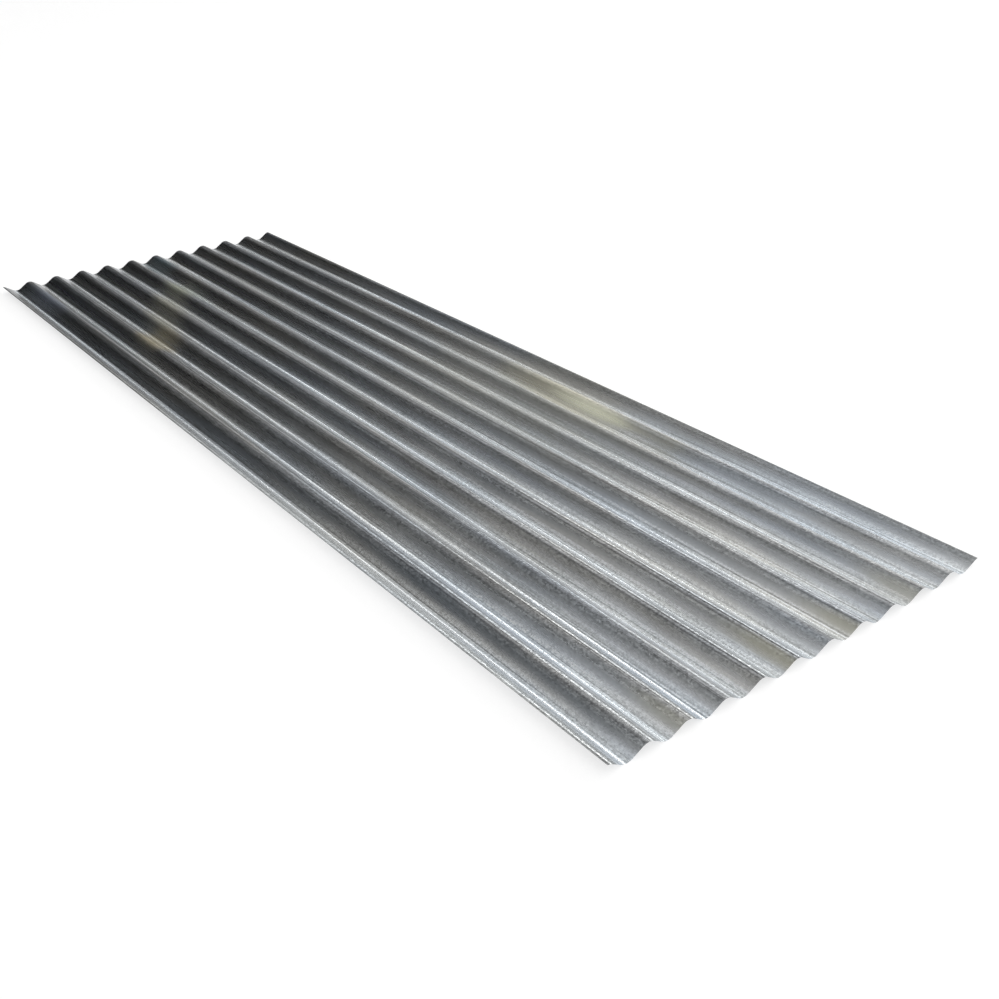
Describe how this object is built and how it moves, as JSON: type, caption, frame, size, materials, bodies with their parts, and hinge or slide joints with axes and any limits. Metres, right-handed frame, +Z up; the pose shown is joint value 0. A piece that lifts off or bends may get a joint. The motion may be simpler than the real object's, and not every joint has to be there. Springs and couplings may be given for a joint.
{
  "type": "corrugated metal sheet",
  "caption": "Rectangular galvanised steel sheet rolled into even, rounded waves along its length, for cladding roofs, walls and fences.",
  "frame": {"origin": "middle of the sheet, on the surface that the undersides of its valleys rest on", "axes": "+X along the waves, which is the sheet's length, +Y across the waves, +Z up, through the sheet's thickness"},
  "size_m": [2.44, 0.8342, 0.017],
  "materials": {
    "galvanised_steel": "hot-dip galvanised, satin to semi-bright zinc with fine spangle"
  },
  "bodies": {
    "root": {"corrugated_sheet": "galvanised_steel"}
  },
  "joints": []
}
